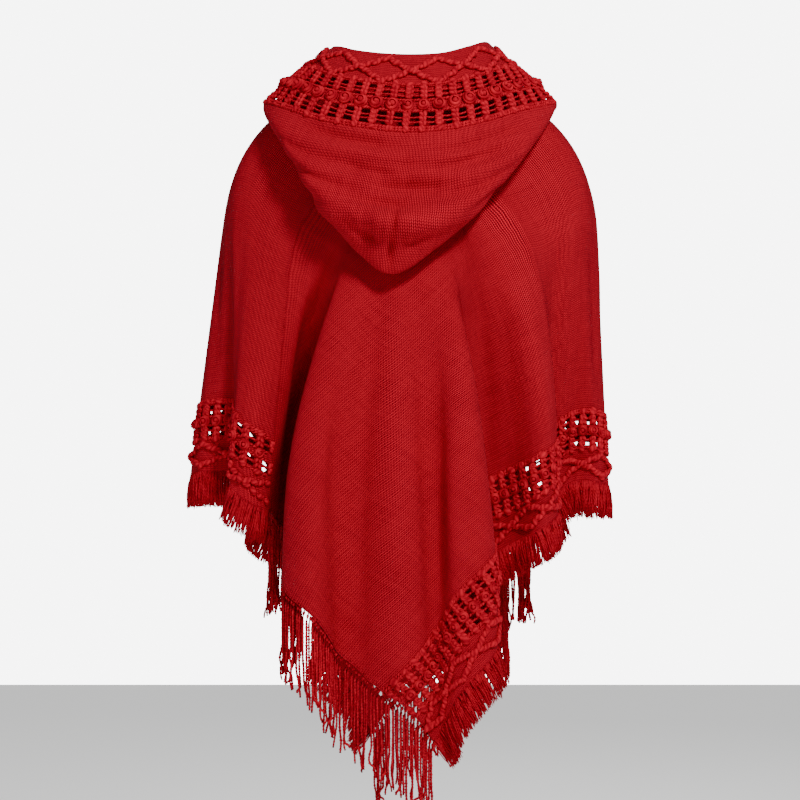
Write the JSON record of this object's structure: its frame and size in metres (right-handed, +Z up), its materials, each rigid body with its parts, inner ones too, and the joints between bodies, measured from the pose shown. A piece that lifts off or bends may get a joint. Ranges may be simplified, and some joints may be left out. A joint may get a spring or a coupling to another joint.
{
  "type": "hooded poncho",
  "caption": "Knitted hooded poncho, worn and hollow, of two rectangles that hang to a point at back and front, with openwork, bobbles, cables and fringe.",
  "frame": {"origin": "middle of the neck's base, where the wearer's neck and shoulders hold the garment", "axes": "+Z up, +Y the way the wearer faces, +X the wearer's right; the back, which the picture shows, faces -Y"},
  "size_m": [0.5468, 0.3744, 1.0235],
  "materials": {
    "knit": "soft matt stockinette knit, slightly fuzzy",
    "yarn": "loose twisted yarn fringe"
  },
  "bodies": {
    "root": {"panel_right": "knit", "panel_left": "knit", "hood_right": "knit", "hood_left": "knit", "fringe_long_back": "yarn", "fringe_long_front": "yarn", "fringe_short_right": "yarn", "fringe_short_left": "yarn"}
  },
  "joints": []
}
